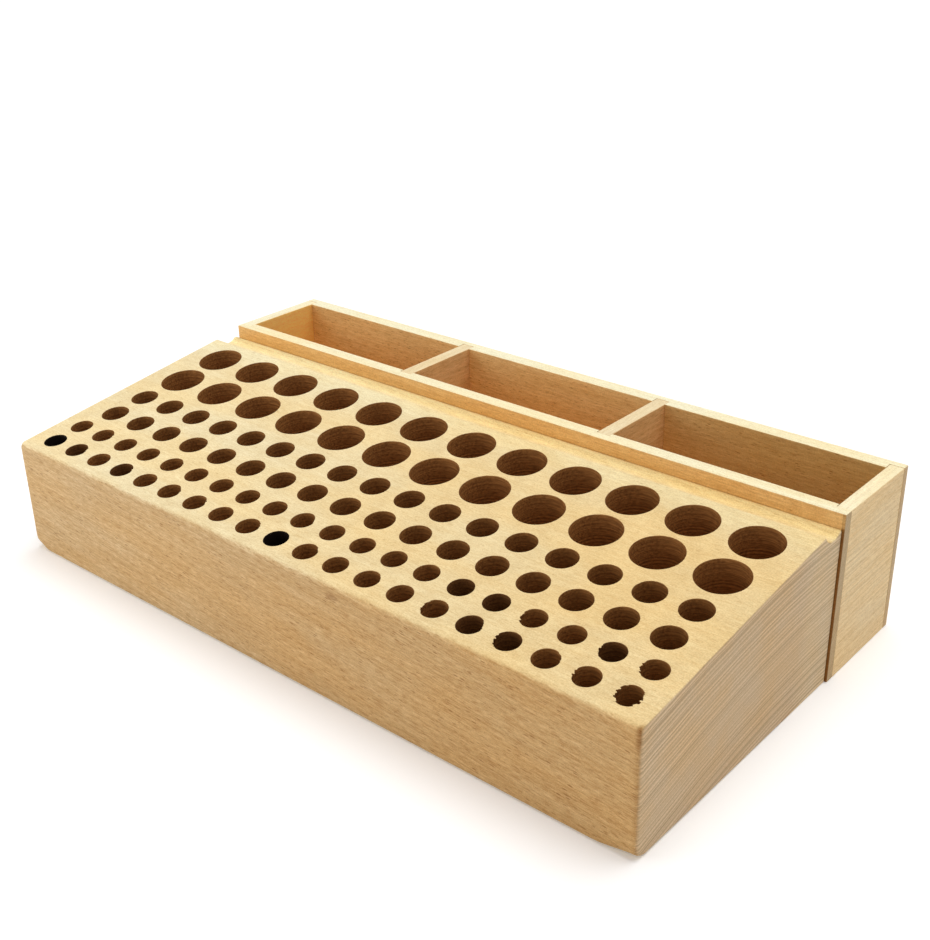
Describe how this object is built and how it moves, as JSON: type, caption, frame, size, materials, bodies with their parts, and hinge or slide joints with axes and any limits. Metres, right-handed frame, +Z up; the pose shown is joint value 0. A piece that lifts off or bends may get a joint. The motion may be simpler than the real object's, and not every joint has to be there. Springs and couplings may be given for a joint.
{
  "type": "tool holder stand",
  "caption": "Wooden bench stand for hand tools: a sloping block drilled with rows of holes in three sizes, a cove groove, and an open-topped box of three bays behind it.",
  "frame": {"origin": "middle of the base plane under the whole stand", "axes": "+X to the right along the length, +Y from the sloping front to the box at the back, +Z up"},
  "size_m": [0.2808, 0.1528, 0.0611],
  "materials": {
    "block_wood": "bare planed beech, end grain at the two ends",
    "board_wood": "bare planed beech boards",
    "panel_wood": "bare thin wooden panel"
  },
  "bodies": {
    "root": {"drilled_block": "block_wood", "box_front_wall": "board_wood", "box_back_wall": "board_wood", "box_left_end": "board_wood", "box_right_end": "board_wood", "box_left_divider": "board_wood", "box_right_divider": "board_wood", "box_bottom": "panel_wood"}
  },
  "joints": []
}
